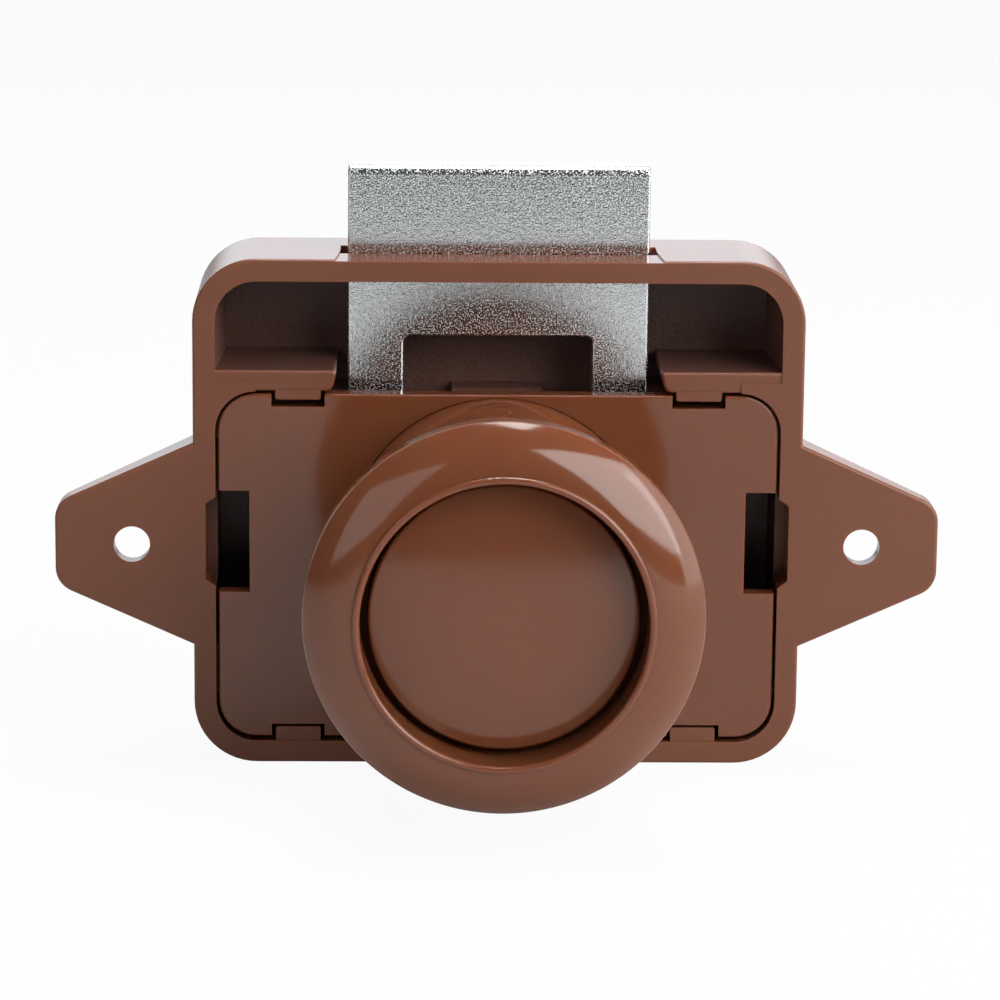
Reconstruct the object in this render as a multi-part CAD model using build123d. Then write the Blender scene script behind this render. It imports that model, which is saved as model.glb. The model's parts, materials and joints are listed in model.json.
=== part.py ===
from build123d import *
import math
import os

# A push button cabinet lock, locked: the button is pressed in and the bolt is up.
# Sizes are in millimetres. +X is right as seen from the room, +Y goes into the cabinet and
# +Z is up, the way the bolt is thrown. The origin is on the button axis, in the case front.

# Clearances
slide_gap = 0.08        # running clearance of everything that slides
seat_gap = 0.05         # clearance of pieces that are assembled and stay put
overrun = 1.0           # how far a cutting body passes the face that it cuts

# Button. The barrel, the rosette and the height of the case are built up around it.
button_r = 10.85
button_stand = 2.3      # how far the middle of its face is in front of the rosette's back
button_face_thick = 1.6
button_dome = 0.9       # by how much its face rises from the rim to the middle
button_wall = 1.2
button_edge = 0.25
tab_half = 1.5
tab_long = 2.0
tab_proud = 0.75
tab_room = 4.0          # from the end of the skirt to the collar

# Button spring
button_wire = 0.8
button_coil_gap = 1.35  # between the coil and the inside of the skirt
button_turns = 9

# Plunger
stem_half = 3.8
stem_bottom = 3.0
stem_coil_gap = 0.4     # between the upper corners of the stem and the inside of the coil
stem_step_gap = 0.3
seat_thick = 1.5

# Barrel
tube_wall = 0.85
tube_short = 1.5        # from the front of the tube to the back of the rosette
collar_long = 5.4
collar_step = 0.15      # by how much the collar is thinner than the sleeve
flange_wide = 1.6
flange_thick = 2.4
flange_flat = 0.7       # from the flat on the flange to the top of the cover
floor_thick = 2.8

# Rosette
ring_back = 24.0
ring_thick = 4.45
ring_rim = 1.9          # height of the straight rim behind the domed face
ring_button_gap = 0.65
ring_bead_wide = 0.62   # the half round bead along the hole
ring_face_wide = 3.98
ring_bulge = 0.45       # by how much the domed face rises over the line between its edges
ring_shoulder_deep = 0.8
ring_edge = 0.4
sleeve_wall = 1.09

# Case
case_half_width = 26.0
case_depth = 12.8
case_corner = 5.4
case_edge = 0.25        # rounding of the outer front edge
case_rear_edge = 1.0
wall = 1.9
back_wall = 1.6
flange_room = 3.0       # from the barrel's flange to the floor of the case
bay_height = 7.65
bay_draft = 0.55        # by how much the bay's side walls are thicker at the back

# Screw ears
ear_long = 11.8
screw_from_case = 5.25
screw_hole_r = 1.55
screw_head_r = 3.0
ear_root_half = 8.85
ear_tip_half = 3.58
ear_root_thick = 3.8
ear_tip_thick = 2.1
ear_corner = 2.2
ear_edge = 0.3

# Shelves that part the upper bay from the seat of the cover
shelf_bolt_gap = 0.85
shelf_thick = 1.8
shelf_recess = 0.1
shelf_slant = 0.4       # by how much its inner end leans outwards below
shelf_front_round = 0.3
shelf_top_nose = 0.3
shelf_low_nose = 0.8

# Cover plate
cover_recess = 0.15
cover_thick = 1.8
cover_gap = 0.25
cover_foot_gap = 0.4
cover_web = 0.25        # from the hole for the barrel to the top of the cover
cover_corner = 3.2
cover_edge = 0.2
notch_share = 0.319     # place of the notches between the bolt's gap and the wall
notch_half = 2.27
notch_deep = 1.1
clip_half = 1.92
clip_top_lap = 0.45
clip_foot_lap = 0.85
clip_edge = 0.2
cover_window_half = 4.45
cover_window_rise = 0.25
cover_window_deep = 2.65
wall_notch_half = 3.3
wall_notch_slope = 0.6
wall_notch_deep = 0.85
wall_notch_long = 4.0
post_wide = 2.2
post_tall = 4.5

# Bolt
bolt_half = 12.9
bolt_thick = 3.0
bolt_throw = 7.4
bolt_side_wide = 4.8
bolt_window_over = 2.6  # from the lowered bolt's window top to the middle of the pin
bolt_window_corner = 0.67
bolt_nose_round = 0.8
bolt_edge = 0.25
slam_deep = 0.7
slam_tall = 2.0
slot_side_gap = 0.65
slot_front_gap = 0.25
slot_rear_gap = 0.14
slot_flare = 0.5
slot_dish = 0.15

# Bolt drive: a ramp on the bolt and a wedge on the plunger, both at 45 degrees
travel = 7.2
over_travel = 0.7       # how far the button goes past its locked place to let the pin go
ramp_side = 0.3         # clearance beside the stem
ramp_web = 1.12         # height of the bolt's lower bar under the ramp's end
tongue_top = 0.5
tongue_web = 1.62       # height of the tongue under the ramp where it meets the bolt
tongue_side = 0.2
nose_grip = 1.0
plunger_end_gap = 0.2

# Guides in the case
rail_thick = 1.6
rail_lap = 0.9

# Bolt springs
bolt_wire = 0.45
bolt_coil_inset = 0.075 # by how much the coil is thinner than the bolt
bolt_turns = 7
spigot_r = 0.7
spigot_long = 1.2

# Cam pin and its boss
pin_r = 0.45
pin_bend = 0.9
pin_over_stem = 1.6
pin_tip_in = 1.0        # from the barrel's floor to the middle of the pin's tip
pin_pivot_share = 0.53  # place of the pin's leg in the thickness of the boss
pin_rise = 3.4
pin_swing_x = 1.7
boss_half = 3.9
boss_roof = 1.2
boss_under_gap = 0.4
boss_behind_gap = 0.32
boss_slot_half = 1.0
pin_seat_gap = 0.25
track_deep = 1.0
track_gap = 0.2
track_side_share = 0.45

# Radii, from the button outwards
bore_r = button_r + slide_gap
tube_r = bore_r + tube_wall
sleeve_bore_r = tube_r + slide_gap
sleeve_r = sleeve_bore_r + sleeve_wall
collar_r = sleeve_r - collar_step
flange_r = collar_r + flange_wide
ring_hole_r = button_r + ring_button_gap
ring_crease_r = ring_hole_r + ring_bead_wide
ring_r = ring_crease_r + ring_face_wide
skirt_in_r = button_r - button_wall
button_dome_r = (button_r ** 2 + button_dome ** 2) / 2 / button_dome
button_coil_r = skirt_in_r - button_coil_gap - button_wire / 2
stem_corner_r = button_coil_r - button_wire / 2 - stem_coil_gap

# Heights, from the barrel outwards
cover_top = collar_r + seat_gap + cover_web
shelf_bottom = cover_top + cover_gap
shelf_top = shelf_bottom + shelf_thick
inner_top = shelf_top + bay_height
case_top = inner_top + wall
bolt_top = case_top + bolt_throw
inner_bottom = -flange_r - flange_room
case_bottom = inner_bottom - wall
cover_bottom = inner_bottom + cover_foot_gap
flange_top = cover_top - flange_flat
stem_top = math.sqrt(stem_corner_r ** 2 - stem_half ** 2)
pin_run_z = stem_top + pin_over_stem
track_floor = stem_top - track_deep
pin_low = track_floor + track_gap
boss_bottom = stem_top + boss_under_gap
boss_top = pin_run_z + pin_rise + boss_roof
bolt_window_top = pin_run_z + travel + bolt_window_over

# Widths
bolt_coil_r = (bolt_thick - bolt_wire) / 2 - bolt_coil_inset
inner_half = case_half_width - wall
cover_half = inner_half - cover_gap
ear_x = case_half_width + screw_from_case
ear_reach = case_half_width + ear_long
shelf_gap_half = bolt_half + shelf_bolt_gap
notch_middle = shelf_gap_half + (inner_half - shelf_gap_half) * notch_share
rail_x = bolt_half + slide_gap
bolt_window_half = bolt_half - bolt_side_wide
bolt_spring_x = (bolt_window_half + bolt_half) / 2
tongue_half = stem_half - tongue_side
ramp_half = stem_half + ramp_side
track_wide = 2 * (pin_r + track_gap)

# Depths, from the room side to the back of the case
button_front = -ring_back - button_stand
seat_front = button_front + button_face_thick
seat_back = seat_front + seat_thick
skirt_end = -collar_long - tab_room
tube_front = tube_short - ring_back
sleeve_end = -collar_long - 2 * seat_gap
cover_back = cover_recess + cover_thick
flange_front = cover_back + seat_gap
flange_back = flange_front + flange_thick
floor_front = flange_back - floor_thick
bolt_front = flange_back + slide_gap
bolt_back = bolt_front + bolt_thick
bolt_middle = (bolt_front + bolt_back) / 2
pad_front = bolt_back + slide_gap
back_face = case_depth - back_wall
boss_front = bolt_back + boss_behind_gap
pin_pivot_y = boss_front + (back_face - boss_front) * pin_pivot_share
pin_tip_y = floor_front + pin_tip_in
plunger_end = back_face - plunger_end_gap - over_travel
tongue_front = plunger_end - travel - nose_grip
ramp_sum = tongue_front + tongue_top
wedge_sum = ramp_sum + slide_gap * math.sqrt(2)
bolt_bottom = ramp_sum - bolt_back - ramp_web
tongue_bottom = ramp_sum - bolt_front - tongue_web


def block(x0, x1, y0, y1, z0, z1):
    """A box between two corners."""
    middle = Pos((x0 + x1) / 2, (y0 + y1) / 2, (z0 + z1) / 2)
    return middle * Box(x1 - x0, y1 - y0, z1 - z0)


def slab(outline, y0, y1):
    """An outline drawn in X and Z, made solid from y0 to y1."""
    front = Plane(origin=(0, y0, 0), x_dir=(1, 0, 0), z_dir=(0, -1, 0))
    return extrude(front * outline, amount=y1 - y0, dir=(0, 1, 0))


def plate(half, bottom, top, corner, y0, y1):
    """A plate with rounded corners, centred on the button axis."""
    outline = Pos(0, (top + bottom) / 2) * RectangleRounded(2 * half, top - bottom, corner)
    return slab(outline, y0, y1)


def disc(radius, y0, y1):
    """A round body about the button axis."""
    return slab(Circle(radius), y0, y1)


def side_profile(points, x0, x1):
    """A closed outline given in Y and Z, made solid from x0 to x1."""
    left = Plane(origin=(x0, 0, 0), x_dir=(0, 1, 0), z_dir=(1, 0, 0))
    return extrude(left * make_face(Polyline(*points, close=True)), amount=x1 - x0, dir=(1, 0, 0))


def both_sides(shape):
    """A shape and its mirror image across the middle plane."""
    return shape + mirror(shape, about=Plane.YZ)


def biarc(start, start_way, end, end_way):
    """Two arcs that meet smoothly, between two points with given directions."""
    span = end - start
    ways = start_way + end_way
    turn = 2 * (1 - start_way.dot(end_way))
    along = span.dot(ways)
    reach = (math.sqrt(along ** 2 + turn * span.dot(span)) - along) / turn
    first = start + start_way * reach
    second = end - end_way * reach
    joint = (first + second) * 0.5
    joint_way = (second - first).normalized()
    return [Edge.make_tangent_arc(start, start_way, joint), Edge.make_tangent_arc(joint, joint_way, end)]


def coil(coil_r, wire, turns, length, name):
    """A spring along +Z from zero, one unbroken tube on half turn steps."""
    rise = (length - wire) / turns
    print(name, "gap between turns", round(rise - wire, 2), "mm")

    def place(turn):
        angle = 2 * math.pi * turn
        return Vector(coil_r * math.cos(angle), coil_r * math.sin(angle), wire / 2 + rise * turn)

    def way(turn):
        angle = 2 * math.pi * turn
        round_speed = 2 * math.pi * coil_r
        return Vector(-round_speed * math.sin(angle), round_speed * math.cos(angle), rise).normalized()

    edges = []
    for half in range(2 * turns):
        edges += biarc(place(half / 2), way(half / 2), place((half + 1) / 2), way((half + 1) / 2))
    section = Plane(origin=place(0), z_dir=way(0)) * Circle(wire / 2)
    return sweep(section, path=Wire(edges))


def ear():
    """The right screw ear: tapered in outline and in thickness, countersunk from the cabinet side."""
    root = inner_half
    slope = (ear_root_half - ear_tip_half) / ear_long
    root_half = ear_root_half + slope * (case_half_width - root)
    outline = make_face(Polyline(
        (root, -root_half), (ear_reach, -ear_tip_half), (ear_reach, ear_tip_half), (root, root_half),
        close=True))
    tips = outline.vertices().sort_by(Axis.X)[-2:]
    outline = fillet(tips, ear_corner)
    thin = (ear_root_thick - ear_tip_thick) / ear_long
    root_thick = ear_root_thick + thin * (case_half_width - root)
    wedge = extrude(make_face(Polyline(
        (root, 0), (ear_reach, 0), (ear_reach, ear_tip_thick), (root, root_thick), close=True)),
        amount=root_half, both=True)
    solid = slab(outline, 0, root_thick) & wedge
    outside = [edge for edge in solid.edges()
               if edge.center().X > case_half_width and edge.length > ear_tip_thick]
    solid = fillet([edge for edge in outside if edge.center().Y < ear_edge], ear_edge)
    here = ear_root_thick - thin * screw_from_case
    sink = screw_head_r - screw_hole_r
    hole = Pos(ear_x, 0, 0) * disc(screw_hole_r, -overrun, root_thick + overrun)
    cone = revolve(make_face(Polyline(
        (0, here - sink), (screw_hole_r, here - sink), (screw_head_r, here),
        (screw_head_r, here + overrun), (0, here + overrun), close=True)), axis=Axis.Y)
    return solid - hole - Pos(ear_x, 0, 0) * cone


def case_shell():
    """The moulded box, its corners and edges rounded, hollow and open to the front."""
    shell = plate(case_half_width, case_bottom, case_top, case_corner, 0, case_depth)
    faces = shell.faces().sort_by(Axis.Y)
    shell = fillet(faces[-1].edges(), case_rear_edge)
    front = shell.faces().sort_by(Axis.Y)[0]
    shell = fillet(front.edges(), case_edge)
    hollow = plate(inner_half, inner_bottom, inner_top, case_corner - wall, -overrun, back_face)
    return shell - hollow


def shelf():
    """The right shelf, with a rounded inner end, and the clip that holds the top of the cover."""
    out = inner_half + wall / 2
    bar = slab(make_face(Polyline(
        (shelf_gap_half, shelf_top), (out, shelf_top), (out, shelf_bottom),
        (shelf_gap_half + shelf_slant, shelf_bottom), close=True)), shelf_recess, back_face + overrun)
    low, high = bar.edges().filter_by(Axis.Y).sort_by(Axis.X)[:2].sort_by(Axis.Z)
    bar = fillet(low, shelf_low_nose)
    high = bar.edges().filter_by(Axis.Y).sort_by(Axis.Z)[-2:].sort_by(Axis.X)[0]
    bar = fillet(high, shelf_top_nose)
    front = [edge for edge in bar.edges().filter_by(Axis.X)
             if edge.center().Z > shelf_top - shelf_front_round and edge.center().Y < shelf_front_round]
    bar = fillet(front, shelf_front_round)
    clip = block(notch_middle - clip_half, notch_middle + clip_half, cover_recess, cover_back,
                 cover_top - clip_top_lap, shelf_bottom + shelf_thick / 2)
    tips = clip.edges().filter_by(Axis.Y).group_by(Axis.Z)[0]
    return bar + fillet(tips, clip_edge)


def seat_corner():
    """The corner under the right shelf, which follows the round corner of the cover."""
    round_r = cover_corner + cover_gap
    x = inner_half - round_r
    z = shelf_bottom - round_r
    corner = block(x, inner_half + wall / 2, 0, back_face + overrun, z, shelf_bottom + shelf_thick / 2)
    return corner - Pos(x, 0, z) * disc(round_r, -overrun, case_depth)


def bay_side():
    """The right wall of the bay beyond the straight wall of the case: it grows thicker to the back."""
    out = inner_half + wall / 2
    inner = inner_half - bay_draft
    outline = make_face(Polyline(
        (inner_half, 0), (out, 0), (out, back_face + overrun), (inner, back_face + overrun),
        (inner, back_face), close=True))
    bottom = shelf_top - shelf_thick / 2
    side = Pos(0, 0, bottom) * extrude(outline, amount=inner_top + wall / 2 - bottom)
    return side & plate(out, case_bottom, inner_top + wall / 2, case_corner - wall / 2, 0, case_depth)


def foot_clip():
    """The right clip on the floor of the case, which holds the foot of the cover."""
    clip = block(notch_middle - clip_half, notch_middle + clip_half, cover_recess, cover_back,
                 inner_bottom - wall / 2, cover_bottom + clip_foot_lap)
    tips = clip.edges().filter_by(Axis.Y).group_by(Axis.Z)[-1]
    return fillet(tips, clip_edge)


def posts():
    """The two posts on the right wall that the cover rests on."""
    out = inner_half + wall / 2
    low = block(inner_half - post_wide, out, flange_front, back_face + overrun,
                cover_bottom + cover_corner, cover_bottom + cover_corner + post_tall)
    high = block(inner_half - post_wide, out, flange_front, back_face + overrun,
                 shelf_bottom - post_tall, shelf_bottom + shelf_thick / 2)
    return low + high


def rail():
    """The right guide rail: one face beside the bolt and one behind it."""
    foot = inner_bottom - wall / 2
    out = rail_x + rail_thick
    beside = block(rail_x, out, bolt_front, back_face + overrun, foot, flange_top)
    behind = block(rail_x - rail_lap, out, pad_front, back_face + overrun, foot, flange_top)
    return beside + behind


def spigot(z_low, z_high):
    """The peg that centres the right bolt spring."""
    return Pos(bolt_spring_x, bolt_middle, z_low) * Cylinder(
        spigot_r, z_high - z_low, align=(Align.CENTER, Align.CENTER, Align.MIN))


def boss():
    """The block behind the bolt that carries the cam pin: a bore for its leg and a slot for its swing."""
    body = block(-boss_half, boss_half, boss_front, back_face + overrun, boss_bottom, boss_top)
    bore = Pos(0, pin_pivot_y, pin_run_z) * Cylinder(
        pin_r + seat_gap, pin_rise + pin_seat_gap, align=(Align.CENTER, Align.CENTER, Align.MIN))
    slot = block(-boss_slot_half, boss_slot_half, boss_front - overrun, pin_pivot_y + pin_r + track_gap,
                 boss_bottom - overrun, pin_run_z + pin_r + pin_seat_gap)
    return body - bore - slot


def wall_notch():
    """The shallow notch in the right wall behind the cover's window, with sloping ends."""
    deep = inner_half + wall_notch_deep
    half = wall_notch_half + wall_notch_slope
    outline = make_face(Polyline(
        (inner_half - overrun, -half), (inner_half, -half), (deep, -wall_notch_half),
        (deep, wall_notch_half), (inner_half, half), (inner_half - overrun, half), close=True))
    return slab(Pos(0, cover_window_rise) * outline, -overrun, wall_notch_long)


def case():
    """The case, with its ears, shelves, guides, clips and the slot that the bolt passes."""
    body = case_shell() + both_sides(ear())
    inside = shelf() + seat_corner() + bay_side() + foot_clip() + posts() + rail()
    inside += spigot(inner_bottom - wall / 2, inner_bottom + spigot_long)
    body += both_sides(inside) + boss()
    body -= both_sides(wall_notch())
    slot_half = bolt_half + slot_side_gap
    slot_front = bolt_front - slot_front_gap
    body -= block(-slot_half, slot_half, slot_front, bolt_back + slot_rear_gap,
                  inner_top - overrun, case_top + overrun)
    dish = make_face(Polyline(
        (-slot_half - slot_flare, -overrun), (slot_half + slot_flare, -overrun),
        (slot_half, slot_front + slot_flare), (-slot_half, slot_front + slot_flare), close=True))
    body -= Pos(0, 0, case_top - slot_dish) * extrude(dish, amount=overrun)
    return body


def cover_plate():
    """The plate in the lower front of the case, with the hole for the barrel."""
    body = plate(cover_half, cover_bottom, cover_top, cover_corner, cover_recess, cover_back)
    body = fillet(body.faces().sort_by(Axis.Y)[0].edges(), cover_edge)
    body -= disc(collar_r + seat_gap, cover_recess - overrun, cover_back + overrun)
    for z_low, z_high in ((cover_top - notch_deep, cover_top + overrun),
                          (cover_bottom - overrun, cover_bottom + notch_deep)):
        body -= both_sides(block(notch_middle - notch_half, notch_middle + notch_half,
                                 cover_recess - overrun, cover_back + overrun, z_low, z_high))
    body -= both_sides(block(cover_half - cover_window_deep, cover_half + overrun,
                             cover_recess - overrun, cover_back + overrun,
                             cover_window_rise - cover_window_half, cover_window_rise + cover_window_half))
    return body


def barrel():
    """The button guide: flange and floor behind the cover, collar through it, tube up to the rosette."""
    flange = disc(flange_r, flange_front, flange_back)
    flange &= block(-flange_r, flange_r, flange_front, flange_back, -flange_r, flange_top)
    body = flange + disc(collar_r, -collar_long, flange_front + flange_thick / 2)
    body += disc(tube_r, tube_front, 0)
    body -= disc(bore_r, tube_front - overrun, floor_front)
    window_half = stem_half + slide_gap
    body -= block(-window_half, window_half, floor_front, flange_back + overrun,
                  tongue_bottom - travel - stem_step_gap, stem_top + slide_gap)
    pin_half = pin_swing_x + pin_r + 2 * track_gap
    body -= block(-pin_half, pin_half, floor_front, flange_back + overrun,
                  stem_top, pin_run_z + pin_r + 2 * track_gap)
    slot_out = skirt_end - tab_long - travel - seat_gap
    slot_in = skirt_end + over_travel + slide_gap
    body -= block(-tube_r - overrun, tube_r + overrun, slot_out, slot_in,
                  -tab_half - slide_gap, tab_half + slide_gap)
    return body


def rosette():
    """The domed ring on the room side of the door, with the sleeve that slides on the barrel."""
    front = -ring_back - ring_thick
    rim = -ring_back - ring_rim
    shoulder = ring_shoulder_deep - ring_back
    bead_r = ring_bead_wide / 2
    crease = front + bead_r
    profile = [
        Polyline((sleeve_r, -ring_back), (ring_r, -ring_back), (ring_r, rim)),
        SagittaArc((ring_r, rim), (ring_crease_r, crease), ring_bulge),
        ThreePointArc((ring_crease_r, crease), (ring_crease_r - bead_r, front), (ring_hole_r, crease)),
        Polyline((ring_hole_r, crease), (ring_hole_r, shoulder), (sleeve_bore_r, shoulder),
                 (sleeve_bore_r, sleeve_end), (sleeve_r, sleeve_end), (sleeve_r, -ring_back)),
    ]
    body = revolve(make_face(Curve() + profile), axis=Axis.Y)
    rims = [edge for edge in body.edges().filter_by(GeomType.CIRCLE)
            if abs(edge.radius - ring_r) < ring_edge / 10]
    return fillet(rims, ring_edge)


def button_cap():
    """The push button: a domed cup with two side tabs that run in the slots of the barrel."""
    body = disc(button_r, button_front, skirt_end)
    body &= Pos(0, button_front + button_dome_r, 0) * Sphere(button_dome_r)
    rims = [edge for edge in body.edges().filter_by(GeomType.CIRCLE)
            if abs(edge.radius - button_r) < button_edge and edge.center().Y < seat_front]
    body = fillet(rims, button_edge)
    body -= disc(skirt_in_r, seat_front, skirt_end + overrun)
    tab = block(button_r - button_wall / 2, button_r + tab_proud, skirt_end - tab_long, skirt_end,
                -tab_half, tab_half)
    return body + both_sides(tab)


def track():
    """The heart shaped groove of the push-push latch, cut into the top of the plunger.

    The pin rests in the notch at the heart's front. Pushed past it, the pin slips to one side and
    runs along that branch to the rear, and the next push brings it round the other side. The
    groove is open at the stem's end, where the pin goes in when the lock is assembled.
    """
    over = pin_tip_y - over_travel - track_gap
    side_end = pin_tip_y + travel * track_side_share
    rear = (0, pin_tip_y + travel)
    right = [(0, over), (pin_swing_x, over), (pin_swing_x, side_end), rear]
    left = [(-x, y) for x, y in right]
    groove = Sketch()
    for points in (right, left, [(0, over), (0, pin_tip_y)], [rear, (0, plunger_end + overrun)]):
        for start, end in zip(points, points[1:]):
            angle = math.degrees(math.atan2(end[1] - start[1], end[0] - start[0]))
            middle = Pos((start[0] + end[0]) / 2, (start[1] + end[1]) / 2)
            groove += middle * Rot(Z=angle) * SlotCenterToCenter(math.dist(start, end), track_wide)
    return Pos(0, 0, track_floor) * extrude(groove, amount=track_deep + overrun)


def plunger():
    """The stem behind the button: spring seat, guide bar and the wedge that draws the bolt down."""
    step = tongue_front - over_travel - stem_step_gap
    outline = [
        (seat_front, -stem_bottom), (step, -stem_bottom), (step, wedge_sum - step),
        (plunger_end, wedge_sum - plunger_end), (plunger_end, stem_top), (seat_front, stem_top),
    ]
    body = side_profile(outline, -stem_half, stem_half) + disc(skirt_in_r - seat_gap, seat_front, seat_back)
    return body - track()


def latch_bolt():
    """The cast bolt: a frame round the plunger, its nose above, and the ramp on its lower bar."""
    top = bolt_top
    profile = [
        (bolt_front, bolt_bottom), (bolt_back, bolt_bottom), (bolt_back, top - slam_tall),
        (bolt_back - slam_deep, top), (bolt_front, top),
    ]
    body = side_profile(profile, -bolt_half, bolt_half)
    nose = [edge for edge in body.edges().filter_by(Axis.X)
            if edge.center().Z > top - bolt_edge and edge.center().Y < bolt_middle]
    body = fillet(nose, bolt_nose_round)
    sides = body.faces().sort_by(Axis.X)
    body = fillet(sides[0].edges() + sides[-1].edges(), bolt_edge)
    body -= plate(bolt_window_half, 0, bolt_window_top, bolt_window_corner,
                  bolt_front - overrun, bolt_back + overrun)
    front_edges = [edge for edge in body.edges() if edge.center().Y < bolt_front + bolt_edge]
    rim = [edge for edge in front_edges
           if abs(edge.center().X) < bolt_window_half + bolt_edge
           and -bolt_edge < edge.center().Z < bolt_window_top + bolt_edge]
    body = fillet(rim, bolt_edge)
    body += block(-tongue_half, tongue_half, tongue_front, bolt_middle, tongue_bottom, tongue_top)
    cut_top = tongue_top + overrun
    body -= side_profile(
        [(ramp_sum - cut_top, cut_top), (bolt_back + overrun, cut_top),
         (bolt_back + overrun, ramp_sum - bolt_back - overrun)], -ramp_half, ramp_half)
    body += both_sides(spigot(bolt_bottom - spigot_long, bolt_bottom + spigot_long))
    return body


def bolt_spring(side):
    """One of the two springs that throw the bolt up."""
    shape = coil(bolt_coil_r, bolt_wire, bolt_turns, bolt_bottom - inner_bottom, "bolt spring")
    return Pos(side * bolt_spring_x, bolt_middle, inner_bottom) * shape


def button_spring():
    """The spring that pushes the button out when the cam pin lets it go."""
    shape = coil(button_coil_r, button_wire, button_turns, floor_front - seat_back, "button spring")
    return Pos(0, floor_front, 0) * Rot(X=90) * shape


def cam_pin():
    """The wire follower: a leg in the boss, a run to the front and a tip in the track."""
    top = pin_run_z + pin_rise
    path = FilletPolyline(
        (0, pin_pivot_y, top), (0, pin_pivot_y, pin_run_z), (0, pin_tip_y, pin_run_z),
        (0, pin_tip_y, pin_low), radius=pin_bend)
    section = Plane(origin=(0, pin_pivot_y, top), z_dir=(0, 0, -1)) * Circle(pin_r)
    return sweep(section, path=path)


def main():
    """Makes each piece and writes it to its own file."""
    os.makedirs("parts", exist_ok=True)
    pieces = {
        "case": case(),
        "cover_plate": cover_plate(),
        "barrel": barrel(),
        "rosette": rosette(),
        "button_cap": button_cap(),
        "plunger": plunger(),
        "latch_bolt": latch_bolt(),
        "bolt_spring_left": bolt_spring(-1),
        "bolt_spring_right": bolt_spring(1),
        "button_spring": button_spring(),
        "cam_pin": cam_pin(),
    }
    for name, shape in pieces.items():
        solids = shape.solids()
        whole = solids[0] if len(solids) == 1 else Compound(children=solids)
        export_step(whole, os.path.join("parts", name + ".step"))
        print(name, len(solids), "solid(s)", round(shape.volume, 2), "mm3")


main()
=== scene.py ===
"""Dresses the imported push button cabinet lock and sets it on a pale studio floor."""

import json
import math

import bmesh
import bpy
from bpy.props import FloatProperty, FloatVectorProperty, PointerProperty
from mathutils import Matrix, Vector

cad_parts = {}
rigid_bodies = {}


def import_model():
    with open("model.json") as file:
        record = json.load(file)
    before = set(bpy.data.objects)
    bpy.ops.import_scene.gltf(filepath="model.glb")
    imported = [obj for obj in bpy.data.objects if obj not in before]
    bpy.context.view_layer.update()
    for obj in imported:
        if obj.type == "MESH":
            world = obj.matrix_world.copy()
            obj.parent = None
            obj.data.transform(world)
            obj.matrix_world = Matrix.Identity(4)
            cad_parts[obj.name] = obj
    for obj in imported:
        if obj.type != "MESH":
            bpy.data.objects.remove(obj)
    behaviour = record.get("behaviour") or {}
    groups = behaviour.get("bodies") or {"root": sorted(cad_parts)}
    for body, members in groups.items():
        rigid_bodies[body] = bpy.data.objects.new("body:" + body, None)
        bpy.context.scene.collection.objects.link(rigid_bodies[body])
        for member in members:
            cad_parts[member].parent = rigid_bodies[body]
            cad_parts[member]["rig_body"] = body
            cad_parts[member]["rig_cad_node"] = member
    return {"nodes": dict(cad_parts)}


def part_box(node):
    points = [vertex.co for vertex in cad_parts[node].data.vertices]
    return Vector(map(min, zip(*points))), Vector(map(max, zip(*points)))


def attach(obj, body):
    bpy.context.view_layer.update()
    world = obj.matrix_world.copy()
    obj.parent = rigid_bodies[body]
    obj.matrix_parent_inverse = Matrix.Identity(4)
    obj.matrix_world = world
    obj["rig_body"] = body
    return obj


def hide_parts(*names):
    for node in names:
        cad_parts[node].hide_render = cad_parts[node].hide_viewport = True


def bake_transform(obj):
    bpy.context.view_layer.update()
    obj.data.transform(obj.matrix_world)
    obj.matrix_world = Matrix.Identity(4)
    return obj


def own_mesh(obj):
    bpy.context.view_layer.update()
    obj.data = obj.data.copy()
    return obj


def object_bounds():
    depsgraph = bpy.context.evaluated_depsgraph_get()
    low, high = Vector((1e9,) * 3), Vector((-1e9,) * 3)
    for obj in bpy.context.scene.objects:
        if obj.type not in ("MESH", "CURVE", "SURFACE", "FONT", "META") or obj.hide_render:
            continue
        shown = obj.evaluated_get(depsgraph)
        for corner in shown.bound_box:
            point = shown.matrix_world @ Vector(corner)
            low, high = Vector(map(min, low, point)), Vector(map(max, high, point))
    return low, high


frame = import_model()
cad_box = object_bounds()

bl_info = {
    "name": "Cabinet lock finish",
    "version": (1, 0, 0),
    "blender": (4, 5, 0),
    "location": "3D View > Sidebar > Lock",
    "description": "Finishes a push button cabinet lock in moulded ABS and plated zinc",
    "category": "Material",
}

MM = 0.001

ABS_IOR = 1.5
SPARK_ROUGHNESS = 0.42      # of ABS from a spark eroded mould

# The pockets of the case: in from the case's own box, and out from the edge of the cover. In them the
# brown is darker and greyer: painted shade and a painted grey sheen
COVER_MARGIN = 0.3 * MM
RIM_DEEP = 0.4 * MM
BACK_WALL = 0.8 * MM
TOP_WALL = 1.7 * MM
POCKET_BORDER = 0.4 * MM    # over which the gloss turns to grain

# The milled strips on the rims beside the upper bay
EAR_REACH = 11.8 * MM       # from the side of the case to the tip of an ear
HATCH_WIDE = 1.9 * MM
HATCH_BOTTOM = 12 * MM
HATCH_TOP = 21 * MM
HATCH_DEEP = 0.6 * MM
HATCH_BORDER = 0.5 * MM
BAND_REPEAT = 0.314         # Blender's wave texture repeats every 0.314 / its scale

# The guide's tube is satin from the end of its collar to the front
TUBE_START = -6 * MM
TUBE_BORDER = 0.5 * MM

# The board and the room, where 1 is white
BOARD_GAP = 0.05 * MM       # between the board and the lowest point of the lock
BOARD_FIBRE = 0.8 * MM
BOARD_SEEN = 0.94           # share of plain white that the camera sees in the board
BOARD_MIRRORED = 0.1        # share of plain white that the lock mirrors in it
ROOM_FRONT_MIRRORED = 0.1

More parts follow.
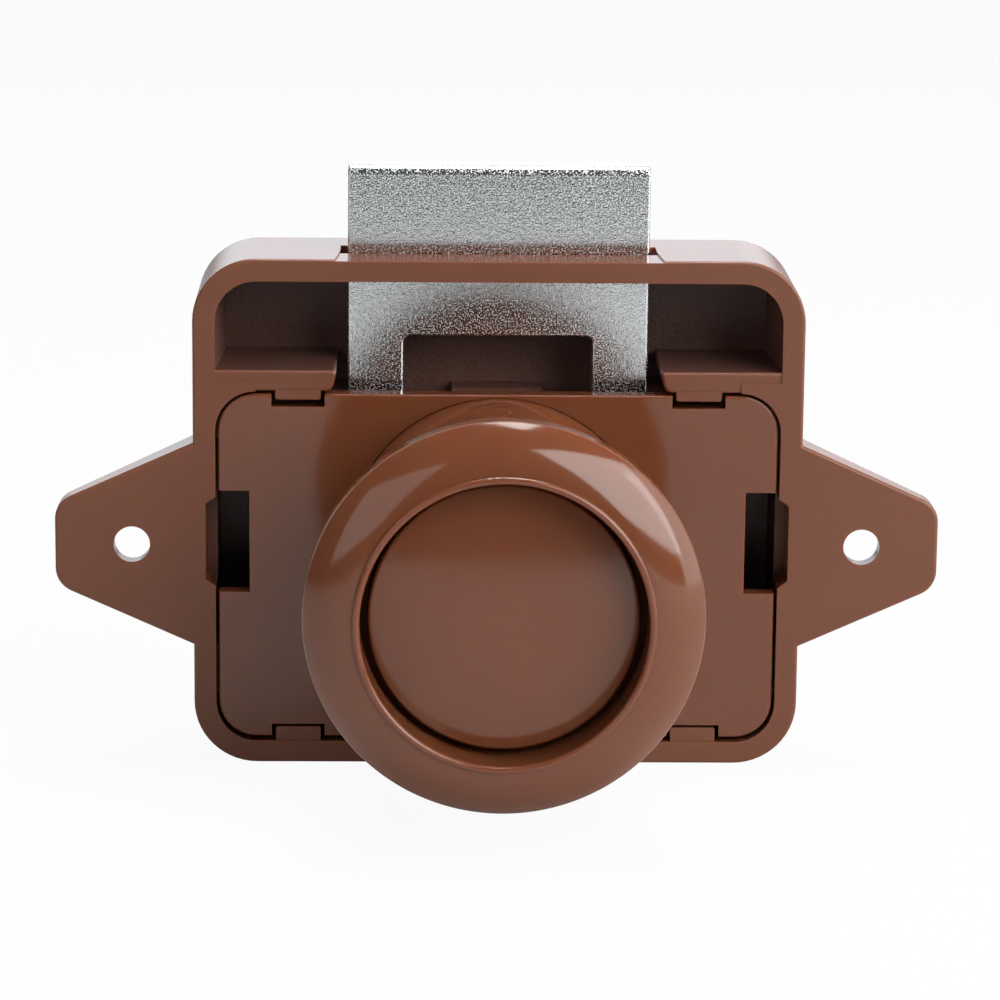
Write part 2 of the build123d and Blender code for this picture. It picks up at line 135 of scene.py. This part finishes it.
# Each softbox: name, the setting that holds its power, width, height, place and tint
SOFTBOXES = (
    ("softbox_right", "key", 0.46, 0.37, (0.31, -0.29, 0.235), "FFFFFF"),
    ("softbox_side", "side", 0.26, 0.40, (0.46, -0.08, 0.16), "FFFFFF"),
    ("softbox_top", "top", 0.26, 0.26, (0.03, 0.04, 0.50), "FFFFFF"),
    ("softbox_left", "fill", 0.32, 0.24, (-0.27, -0.32, 0.155), "FFFFFF"),
    ("softbox_rear", "rim", 0.60, 0.20, (0.0, 0.50, 0.15), "DCEEFF"),
)


def linear(code):
    """Turns an sRGB hex colour into linear RGBA."""
    parts = [int(code[i:i + 2], 16) / 255 for i in (0, 2, 4)]
    return [p / 12.92 if p <= 0.04045 else ((p + 0.055) / 1.055) ** 2.4 for p in parts] + [1.0]


def colour(name, description, code):
    """Declares a colour property whose default is an sRGB hex colour."""
    return FloatVectorProperty(name=name, description=description, subtype="COLOR", size=4,
                               min=0, max=1, default=linear(code))


def distance(name, description, millimetres):
    """Declares a length property whose default is given in millimetres."""
    return FloatProperty(name=name, description=description, subtype="DISTANCE", unit="LENGTH",
                         precision=5, min=0.01 * MM, default=millimetres * MM)


def angle(name, description, degrees):
    """Declares an angle property whose default is given in degrees."""
    return FloatProperty(name=name, description=description, subtype="ANGLE", unit="ROTATION",
                         default=math.radians(degrees))


def power(name, description, watts):
    """Declares a lamp's power."""
    return FloatProperty(name=name, description=description, subtype="POWER", unit="POWER",
                         min=0, default=watts)


class PlasticFinish(bpy.types.PropertyGroup):
    """The brown ABS of the case, cover, guide, rosette and button."""
    brown: colour("Brown", "Colour of the moulded ABS", "704128")
    brown_dark: colour("Flow marks", "Slightly darker ABS where the melt met and cooled", "683A24")
    # Darker, greyer brown of the pockets: painted shade of the deep bay and a painted grey sheen; the
    # plastic there is the same brown
    brown_pocket_shade: colour("Inner brown", "ABS of the textured pockets, painted darker and greyer as shade and sheen", "5C3C32")
    glow: colour("Glow", "Colour of the light that comes back out of thin edges", "C4622E")
    flow_size: distance("Flow marks", "Size of the cloudy flow marks", 7)
    peel_size: distance("Orange peel", "Size of the shallow waves that a polished mould leaves", 1.1)
    spark_size: distance("Spark grain", "Size of the grain of a spark eroded mould face", 0.16)
    leather_size: distance("Leather grain", "Size of the grain on the back of the upper bay", 0.38)
    hatch_pitch: distance("Tool marks", "Spacing of the milling marks on the side rims", 0.26)


class MetalFinish(bpy.types.PropertyGroup):
    """The plated bolt and the spring wire."""
    zinc: colour("Zinc", "Bright zinc plating", "CCD1D5")
    # Paler plating of the specks: a painted glint; their higher roughness below is real
    zinc_painted_glint: colour("Zinc with painted glint", "Paler plating on the specks, a painted glint", "F2F4F5")
    wire: colour("Wire", "Drawn spring steel", "8C8C8E")
    grain_size: distance("Grain", "Size of the frosted specks of the plated face", 0.14)
    pit_size: distance("Pits", "Size of the shallow waves between the specks", 0.45)
    draw_size: distance("Draw lines", "Spacing of the lines that the die leaves on wire", 0.05)


class StudioSetup(bpy.types.PropertyGroup):
    """The floor, the lamps and the camera."""
    floor: colour("Floor", "Matt white board", "C8C8C6")
    floor_size: distance("Floor size", "Width and depth of the floor", 4000)
    floor_front: distance("Floor in front", "How far the floor reaches in front of the lock", 288)
    camera_place: FloatVectorProperty(
        name="Camera place", description="Where the photograph was taken from",
        subtype="TRANSLATION", unit="LENGTH", precision=4,
        default=(-8.02 * MM, -345.27 * MM, 80.61 * MM))
    camera_turn: angle("Turn", "How far the camera looks to the right", 1.362)
    camera_tilt: angle("Tilt", "How far the camera looks down", 12.505)
    camera_roll: angle("Roll", "How far the camera leans", 0.56)
    lens: FloatProperty(name="Lens", description="Focal length in millimetres on a 36 mm sensor",
                        subtype="DISTANCE_CAMERA", min=1, default=149.07)
    key: power("Key", "Power of the large softbox in front on the right", 3.0)
    fill: power("Fill", "Power of the softbox in front on the left", 0.3)
    side: power("Side", "Power of the softbox at the right side", 0.85)
    top: power("Top", "Power of the softbox above the lock", 2.5)
    rim: power("Rim", "Power of the softbox behind the lock", 0.3)
    room: FloatProperty(name="Room", description="Strength of the light from all sides",
                        subtype="FACTOR", min=0, max=1, default=0.08)


def node(tree, kind, inputs=(), **settings):
    """Adds a node. inputs maps a socket's name or number to a value or to the socket that feeds it."""
    made = tree.nodes.new(kind)
    for name, value in settings.items():
        setattr(made, name, value)
    for name, value in dict(inputs).items():
        if isinstance(value, bpy.types.NodeSocket):
            tree.links.new(value, made.inputs[name])
        else:
            made.inputs[name].default_value = value
    return made


def new_material(name):
    """Starts an empty material. Returns it, its node tree and the socket with the place on the piece."""
    material = bpy.data.materials.new(name)
    material.use_nodes = True
    tree = material.node_tree
    tree.nodes.clear()
    return material, tree, node(tree, "ShaderNodeTexCoord").outputs["Object"]


def finish_material(tree, shader):
    """Sends the shader to the surface."""
    node(tree, "ShaderNodeOutputMaterial", {"Surface": shader})


def flow_marks(tree, place, finish):
    """Clouds of slightly darker plastic, as melt leaves where it slowed down."""
    clouds = node(tree, "ShaderNodeTexNoise",
                  {"Vector": place, "Scale": 1 / finish.flow_size, "Detail": 3, "Roughness": 0.5})
    mixed = node(tree, "ShaderNodeMix", {"Factor": clouds.outputs["Fac"], "A": finish.brown,
                                         "B": finish.brown_dark}, data_type="RGBA")
    return mixed.outputs["Result"]


def orange_peel(tree, place, finish):
    """The bump of a polished mould: waves too shallow to see but in the reflections."""
    waves = node(tree, "ShaderNodeTexNoise",
                 {"Vector": place, "Scale": 1 / finish.peel_size, "Detail": 2, "Roughness": 0.4})
    bump = node(tree, "ShaderNodeBump", {"Height": waves.outputs["Fac"], "Strength": 0.12,
                                         "Distance": 0.02 * MM})
    return bump.outputs["Normal"]


def spark_grain(tree, place, finish, strength):
    """The bump of a spark eroded mould: an even fine grain that takes the mirror away."""
    spark = node(tree, "ShaderNodeTexNoise",
                 {"Vector": place, "Scale": 1 / finish.spark_size, "Detail": 2, "Roughness": 0.6})
    bump = node(tree, "ShaderNodeBump", {"Height": spark.outputs["Fac"], "Strength": strength,
                                         "Distance": 0.03 * MM})
    return bump.outputs["Normal"]


def glossy_abs(name, finish, rub=0.0, satin_front=None):
    """Glossy moulded ABS: a warm brown that mirrors the softboxes, a little cloudy, with thin edges
    that glow orange where light passes through them. rub adds the dull patches of a handled piece.
    In front of satin_front the piece is satin, as the part of the guide inside the door is."""
    material, tree, place = new_material(name)
    smears = node(tree, "ShaderNodeTexNoise",
                  {"Vector": place, "Scale": 1 / finish.flow_size, "Detail": 2, "Roughness": 0.5})
    roughness = node(tree, "ShaderNodeMapRange",
                     {"Value": smears.outputs["Fac"], "To Min": 0.07, "To Max": 0.15 + rub})
    shader = node(tree, "ShaderNodeBsdfPrincipled",
                  {"Base Color": flow_marks(tree, place, finish), "IOR": ABS_IOR,
                   "Roughness": roughness.outputs["Result"],
                   "Normal": orange_peel(tree, place, finish), "Subsurface Weight": 0.7,
                   "Subsurface Radius": finish.glow[:3], "Subsurface Scale": 2.4 * MM})
    if satin_front is not None:
        depth = node(tree, "ShaderNodeSeparateXYZ", {"Vector": place}).outputs["Y"]
        satin = node(tree, "ShaderNodeMapRange", {"Value": depth, "From Min": satin_front,
                                                  "From Max": satin_front - TUBE_BORDER})
        dull = node(tree, "ShaderNodeMix", {"Factor": satin.outputs["Result"],
                                            "A": roughness.outputs["Result"], "B": 0.6})
        faint = node(tree, "ShaderNodeMapRange",
                     {"Value": satin.outputs["Result"], "To Min": 0.5, "To Max": 0.1})
        tree.links.new(dull.outputs["Result"], shader.inputs["Roughness"])
        tree.links.new(faint.outputs["Result"], shader.inputs["Specular IOR Level"])
    finish_material(tree, shader.outputs["BSDF"])
    return material


def inside_mask(tree, place, low, high, border):
    """1 inside a box of the frame and 0 outside, with a soft border."""
    axes = node(tree, "ShaderNodeSeparateXYZ", {"Vector": place})
    mask = 1.0
    for axis, name in enumerate("XYZ"):
        for edge, way in ((low[axis], 1), (high[axis], -1)):
            step = node(tree, "ShaderNodeMapRange",
                        {"Value": axes.outputs[name], "From Min": edge - way * border / 2,
                         "From Max": edge + way * border / 2})
            mask = node(tree, "ShaderNodeMath", {0: mask, 1: step.outputs["Result"]},
                        operation="MULTIPLY").outputs["Value"]
    return mask


def cross_hatch(tree, place, finish, normal):
    """Two crossing sets of fine milling marks on the rims at both sides of the upper bay. They are
    drawn coarser than a cutter leaves them, because the real ones are too fine for the render."""
    low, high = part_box("case")
    outer = high.x - EAR_REACH
    waves = []
    for turn in (math.radians(45), math.radians(-45)):
        turned = node(tree, "ShaderNodeMapping", {"Vector": place, "Rotation": (0, turn, 0)})
        waves.append(node(tree, "ShaderNodeTexWave",
                          {"Vector": turned.outputs["Vector"],
                           "Scale": BAND_REPEAT / finish.hatch_pitch}, bands_direction="X"))
    marks = node(tree, "ShaderNodeMath", {0: waves[0].outputs["Fac"], 1: waves[1].outputs["Fac"]},
                 operation="MAXIMUM")
    left, right = (
        inside_mask(tree, place, (min(ends), low.y - MM, HATCH_BOTTOM),
                    (max(ends), HATCH_DEEP, HATCH_TOP), HATCH_BORDER)
        for ends in ((-outer, HATCH_WIDE - outer), (outer - HATCH_WIDE, outer)))
    strips = node(tree, "ShaderNodeMath", {0: left, 1: right}, operation="MAXIMUM")
    height = node(tree, "ShaderNodeMath", {0: marks.outputs["Value"], 1: strips.outputs["Value"]},
                  operation="MULTIPLY")
    bump = node(tree, "ShaderNodeBump", {"Height": height.outputs["Value"], "Strength": 0.5,
                                         "Distance": 0.02 * MM, "Normal": normal})
    return bump.outputs["Normal"]


def leather_grain(tree, place, finish, normal):
    """The bump of a mould etched like leather: small rounded cells broken up by wrinkles."""
    cells = node(tree, "ShaderNodeTexVoronoi",
                 {"Vector": place, "Scale": 1 / finish.leather_size, "Randomness": 1.0},
                 feature="SMOOTH_F1")
    wrinkles = node(tree, "ShaderNodeTexNoise",
                    {"Vector": place, "Scale": 0.6 / finish.leather_size, "Detail": 4,
                     "Roughness": 0.6, "Distortion": 0.8})
    grain = node(tree, "ShaderNodeMix", {"Factor": 0.5, "A": cells.outputs["Distance"],
                                         "B": wrinkles.outputs["Fac"]})
    bump = node(tree, "ShaderNodeBump", {"Height": grain.outputs["Result"], "Strength": 0.6,
                                         "Distance": 0.12 * MM, "Normal": normal})
    return bump.outputs["Normal"]


def case_abs(finish):
    """The ABS of the case: glossy outside with duller front rims, spark eroded and grained like
    leather inside the pockets, and cross-hatched by the cutter on the rims beside the bay. Inside the
    pockets the brown is painted darker and greyer, as painted shade and a painted grey sheen."""
    material, tree, place = new_material("moulded_abs_case")
    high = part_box("case")[1]
    cover_low, cover_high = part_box("cover_plate")
    pocket = inside_mask(
        tree, place, (cover_low.x - COVER_MARGIN, RIM_DEEP, cover_low.z - COVER_MARGIN),
        (cover_high.x + COVER_MARGIN, high.y - BACK_WALL, high.z - TOP_WALL), POCKET_BORDER)
    # Painted shade and sheen: inside the pockets the base colour turns to the darker, greyer brown
    base = node(tree, "ShaderNodeMix", {"Factor": pocket, "A": flow_marks(tree, place, finish),
                                        "B": finish.brown_pocket_shade}, data_type="RGBA")
    hatched = cross_hatch(tree, place, finish, orange_peel(tree, place, finish))
    grained = leather_grain(tree, place, finish, spark_grain(tree, place, finish, 0.35))
    normal = node(tree, "ShaderNodeMix", {"Factor": pocket, "A": hatched, "B": grained},
                  data_type="VECTOR")
    facing = node(tree, "ShaderNodeSeparateXYZ",
                  {"Vector": node(tree, "ShaderNodeTexCoord").outputs["Normal"]}).outputs["Y"]
    rims = node(tree, "ShaderNodeMapRange", {"Value": facing, "From Min": -0.5, "From Max": -0.9,
                                             "To Min": 0.2, "To Max": 0.46})
    roughness = node(tree, "ShaderNodeMix", {"Factor": pocket, "A": rims.outputs["Result"],
                                             "B": SPARK_ROUGHNESS})
    shader = node(tree, "ShaderNodeBsdfPrincipled",
                  {"Base Color": base.outputs["Result"], "Roughness": roughness.outputs["Result"],
                   "IOR": ABS_IOR, "Normal": normal.outputs["Result"], "Subsurface Weight": 0.5,
                   "Subsurface Radius": finish.glow[:3], "Subsurface Scale": 2 * MM})
    finish_material(tree, shader.outputs["BSDF"])
    return material


def inner_abs(finish):
    """ABS of the pieces that only show through gaps: the same brown from a spark eroded mould, so it
    has a fine grain and no mirror."""
    material, tree, place = new_material("moulded_abs_satin")
    shader = node(tree, "ShaderNodeBsdfPrincipled",
                  {"Base Color": flow_marks(tree, place, finish), "Roughness": SPARK_ROUGHNESS,
                   "IOR": ABS_IOR, "Normal": spark_grain(tree, place, finish, 0.4)})
    finish_material(tree, shader.outputs["BSDF"])
    return material


def plated_zinc(finish):
    """Bright plating on a grainy casting: a cold mirror full of fine frosted specks, which catch the
    lamps from all sides with their rougher face, and are painted paler as a painted glint, so that
    they sparkle over the dark and pale bands that the mirror shows. The finest of the real specks are
    left out, because they are smaller than the render can show."""
    material, tree, place = new_material("plated_zinc_casting")
    grains = node(tree, "ShaderNodeTexNoise",
                  {"Vector": place, "Scale": 1 / finish.grain_size, "Detail": 1, "Roughness": 0.5})
    specks = node(tree, "ShaderNodeMapRange",
                  {"Value": grains.outputs["Fac"], "From Min": 0.51, "From Max": 0.61})
    frosted = specks.outputs["Result"]
    pits = node(tree, "ShaderNodeTexNoise",
                {"Vector": place, "Scale": 1 / finish.pit_size, "Detail": 1, "Roughness": 0.5})
    # Painted glint: the specks get paler plating than the rest of the face, on top of their rougher
    # finish
    base = node(tree, "ShaderNodeMix", {"Factor": frosted, "A": finish.zinc,
                                        "B": finish.zinc_painted_glint}, data_type="RGBA")
    roughness = node(tree, "ShaderNodeMapRange", {"Value": frosted, "To Min": 0.1, "To Max": 0.45})
    grain_bump = node(tree, "ShaderNodeBump", {"Height": grains.outputs["Fac"], "Strength": 1.0,
                                               "Distance": 0.012 * MM})
    bump = node(tree, "ShaderNodeBump", {"Height": pits.outputs["Fac"], "Strength": 1.0,
                                         "Distance": 0.01 * MM,
                                         "Normal": grain_bump.outputs["Normal"]})
    shader = node(tree, "ShaderNodeBsdfPrincipled",
                  {"Base Color": base.outputs["Result"], "Metallic": 1.0,
                   "Roughness": roughness.outputs["Result"], "Normal": bump.outputs["Normal"]})
    finish_material(tree, shader.outputs["BSDF"])
    return material


def spring_steel(finish):
    """Drawn spring steel: dark grey, with fine lines along the wire that smear its highlight."""
    material, tree, place = new_material("drawn_spring_steel")
    lines = node(tree, "ShaderNodeTexNoise",
                 {"Vector": place, "Scale": 1 / finish.draw_size, "Detail": 1})
    roughness = node(tree, "ShaderNodeMapRange",
                     {"Value": lines.outputs["Fac"], "To Min": 0.22, "To Max": 0.45})
    shader = node(tree, "ShaderNodeBsdfPrincipled",
                  {"Base Color": finish.wire, "Metallic": 1.0,
                   "Roughness": roughness.outputs["Result"]})
    finish_material(tree, shader.outputs["BSDF"])
    return material


def dress(name, material):
    """Gives a CAD node its material and returns it."""
    piece = frame["nodes"].get(name)
    if piece is None:
        raise RuntimeError(f"the packed lock has no piece named {name}")
    piece.data.materials.clear()
    piece.data.materials.append(material)
    return piece


def wire_copy(name, material):
    """A copy of a spring in place of the rigid one, without the CAD node's rig keys and parent."""
    source = dress(name, material)
    piece = source.copy()
    piece.data = source.data.copy()
    piece.name = name + "_wire"
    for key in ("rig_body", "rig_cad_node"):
        del piece[key]
    piece.parent = None
    bpy.context.scene.collection.objects.link(piece)
    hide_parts(name)
    return piece


class LOCK_OT_case(bpy.types.Operator):
    """Finishes the moulded case"""
    bl_idname = "lock.case"
    bl_label = "Case"

    def execute(self, context):
        dress("case", case_abs(context.scene.lock_plastic))
        return {"FINISHED"}


class LOCK_OT_cover(bpy.types.Operator):
    """Finishes the cover plate and the guide that stands in it"""
    bl_idname = "lock.cover"
    bl_label = "Cover and guide"

    def execute(self, context):
        finish = context.scene.lock_plastic
        dress("cover_plate", glossy_abs("moulded_abs_cover", finish))
        dress("barrel", glossy_abs("moulded_abs_barrel", finish, satin_front=TUBE_START))
        return {"FINISHED"}


class LOCK_OT_button(bpy.types.Operator):
    """Finishes the rosette and the button with its plunger"""
    bl_idname = "lock.button"
    bl_label = "Rosette and button"

    def execute(self, context):
        finish = context.scene.lock_plastic
        dress("rosette", glossy_abs("moulded_abs_rosette", finish))
        dress("button_cap", glossy_abs("moulded_abs_button", finish, rub=0.04))
        dress("plunger", inner_abs(finish))
        return {"FINISHED"}


class LOCK_OT_bolt(bpy.types.Operator):
    """Finishes the plated bolt"""
    bl_idname = "lock.bolt"
    bl_label = "Bolt"

    def execute(self, context):
        dress("latch_bolt", plated_zinc(context.scene.lock_metal))
        return {"FINISHED"}


class LOCK_OT_springs(bpy.types.Operator):
    """Finishes the wire pieces and puts loose copies in place of the springs"""
    bl_idname = "lock.springs"
    bl_label = "Springs and pin"

    def execute(self, context):
        wire = spring_steel(context.scene.lock_metal)
        dress("cam_pin", wire)
        for name in ("bolt_spring_left", "bolt_spring_right"):
            piece = wire_copy(name, wire)
            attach(piece, "lock_case")
            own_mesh(piece)
        piece = wire_copy("button_spring", wire)
        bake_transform(piece)
        return {"FINISHED"}


def floor_board(setup):
    """Matt white board: to the camera nearly as white as the room behind, but it keeps the lock's
    soft shadow, and the lock mirrors it as a paler board than it is."""
    material, tree, place = new_material("matt_white_board")
    fibres = node(tree, "ShaderNodeTexNoise", {"Vector": place, "Scale": 1 / BOARD_FIBRE, "Detail": 3})
    bump = node(tree, "ShaderNodeBump", {"Height": fibres.outputs["Fac"], "Strength": 0.05,
                                         "Distance": 0.02 * MM})
    board = node(tree, "ShaderNodeBsdfPrincipled",
                 {"Base Color": setup.floor, "Roughness": 0.8, "Specular IOR Level": 0.2,
                  "Normal": bump.outputs["Normal"]})
    white = node(tree, "ShaderNodeEmission", {"Color": (1, 1, 1, 1), "Strength": 1.0})
    path = node(tree, "ShaderNodeLightPath")
    seen = node(tree, "ShaderNodeMath", {0: path.outputs["Is Camera Ray"], 1: BOARD_SEEN},
                operation="MULTIPLY")
    mirrored = node(tree, "ShaderNodeMath", {0: path.outputs["Is Glossy Ray"], 1: BOARD_MIRRORED},
                    operation="MULTIPLY")
    share = node(tree, "ShaderNodeMath", {0: seen.outputs["Value"], 1: mirrored.outputs["Value"]},
                 operation="MAXIMUM")
    shader = node(tree, "ShaderNodeMixShader", {"Fac": share.outputs["Value"],
                                                1: board.outputs["BSDF"],
                                                2: white.outputs["Emission"]})
    finish_material(tree, shader.outputs["Shader"])
    return material


def studio_world(setup):
    """A white room behind the lock, dimmer in front of it, and white wherever the camera looks."""
    world = bpy.data.worlds.new("studio_room")
    world.use_nodes = True
    tree = world.node_tree
    tree.nodes.clear()
    path = node(tree, "ShaderNodeLightPath")
    way = node(tree, "ShaderNodeTexCoord").outputs["Generated"]
    ahead = node(tree, "ShaderNodeSeparateXYZ", {"Vector": way}).outputs["Y"]
    mirror = node(tree, "ShaderNodeMapRange", {"Value": ahead, "From Min": 0.2, "From Max": 0.7,
                                               "To Min": ROOM_FRONT_MIRRORED, "To Max": 1.0})
    mirrored = node(tree, "ShaderNodeMath", {0: path.outputs["Is Glossy Ray"],
                                             1: path.outputs["Is Transmission Ray"]},
                    operation="MAXIMUM")
    unseen = node(tree, "ShaderNodeMix", {"Factor": mirrored.outputs["Value"], "A": setup.room,
                                          "B": mirror.outputs["Result"]})
    strength = node(tree, "ShaderNodeMix", {"Factor": path.outputs["Is Camera Ray"],
                                            "A": unseen.outputs["Result"], "B": 1.0})
    room = node(tree, "ShaderNodeBackground", {"Color": (1, 1, 1, 1),
                                               "Strength": strength.outputs["Result"]})
    node(tree, "ShaderNodeOutputWorld", {"Surface": room.outputs["Background"]})
    return world


def softbox(name, watts, wide, tall, place, tint, target):
    """A soft rectangular lamp at a place, aimed at a target."""
    lamp = bpy.data.lights.new(name, "AREA")
    lamp.shape = "RECTANGLE"
    lamp.size = wide
    lamp.size_y = tall
    lamp.energy = watts
    lamp.color = linear(tint)[:3]
    holder = bpy.data.objects.new(name, lamp)
    holder.location = place
    holder.rotation_euler = (target - Vector(place)).to_track_quat("-Z", "Y").to_euler()
    holder.visible_camera = False
    bpy.context.scene.collection.objects.link(holder)


def lay_floor(setup):
    """A large board under the lock that ends between the lock and the camera."""
    mesh = bpy.data.meshes.new("floor")
    form = bmesh.new()
    bmesh.ops.create_grid(form, x_segments=8, y_segments=8, size=setup.floor_size / 2)
    form.to_mesh(mesh)
    form.free()
    mesh.materials.append(floor_board(setup))
    floor = bpy.data.objects.new("floor", mesh)
    floor.location = (0, setup.floor_size / 2 - setup.floor_front, cad_box[0].z - BOARD_GAP)
    bpy.context.scene.collection.objects.link(floor)


def set_camera(setup):
    """The camera at the place and angle that the photograph was taken from."""
    lens = bpy.data.cameras.new("photograph_view")
    lens.lens = setup.lens
    lens.sensor_width = 36
    lens.clip_start = 10 * MM
    camera = bpy.data.objects.new("photograph_view", lens)
    turn = Matrix.Rotation(-setup.camera_turn, 4, "Z")
    tilt = Matrix.Rotation(math.pi / 2 - setup.camera_tilt, 4, "X")
    roll = Matrix.Rotation(setup.camera_roll, 4, "Z")
    camera.matrix_world = Matrix.Translation(setup.camera_place) @ turn @ tilt @ roll
    bpy.context.scene.collection.objects.link(camera)
    bpy.context.scene.camera = camera


class LOCK_OT_studio(bpy.types.Operator):
    """Sets the floor, the lamps and the camera"""
    bl_idname = "lock.studio"
    bl_label = "Studio"

    def execute(self, context):
        setup = context.scene.lock_studio
        lay_floor(setup)
        context.scene.world = studio_world(setup)
        middle = (cad_box[0] + cad_box[1]) / 2
        for name, setting, wide, tall, place, tint in SOFTBOXES:
            softbox(name, getattr(setup, setting), wide, tall, place, tint, middle)
        set_camera(setup)
        context.scene.view_settings.view_transform = "Standard"
        return {"FINISHED"}


class LOCK_PT_panel(bpy.types.Panel):
    """Lists the settings of the lock and the steps that apply them"""
    bl_idname = "LOCK_PT_panel"
    bl_label = "Cabinet lock"
    bl_space_type = "VIEW_3D"
    bl_region_type = "UI"
    bl_category = "Lock"

    def draw(self, context):
        for name in GROUPS:
            group = getattr(context.scene, name)
            box = self.layout.box()
            for setting in group.__annotations__:
                box.prop(group, setting)
        for step in STEPS:
            self.layout.operator(step.bl_idname)


GROUPS = {"lock_plastic": PlasticFinish, "lock_metal": MetalFinish, "lock_studio": StudioSetup}
STEPS = (LOCK_OT_studio, LOCK_OT_case, LOCK_OT_cover, LOCK_OT_button, LOCK_OT_bolt, LOCK_OT_springs)
CLASSES = (*GROUPS.values(), *STEPS, LOCK_PT_panel)


def register():
    """Adds the classes and the settings of the scene."""
    for kind in CLASSES:
        bpy.utils.register_class(kind)
    for name, kind in GROUPS.items():
        setattr(bpy.types.Scene, name, PointerProperty(type=kind))


def unregister():
    """Takes the settings and the classes out again."""
    for name in GROUPS:
        delattr(bpy.types.Scene, name)
    for kind in reversed(CLASSES):
        bpy.utils.unregister_class(kind)


def main():
    """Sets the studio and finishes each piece."""
    register()
    bpy.ops.lock.studio()
    bpy.ops.lock.case()
    bpy.ops.lock.cover()
    bpy.ops.lock.button()
    bpy.ops.lock.bolt()
    bpy.ops.lock.springs()


if __name__ == "__main__":
    main()
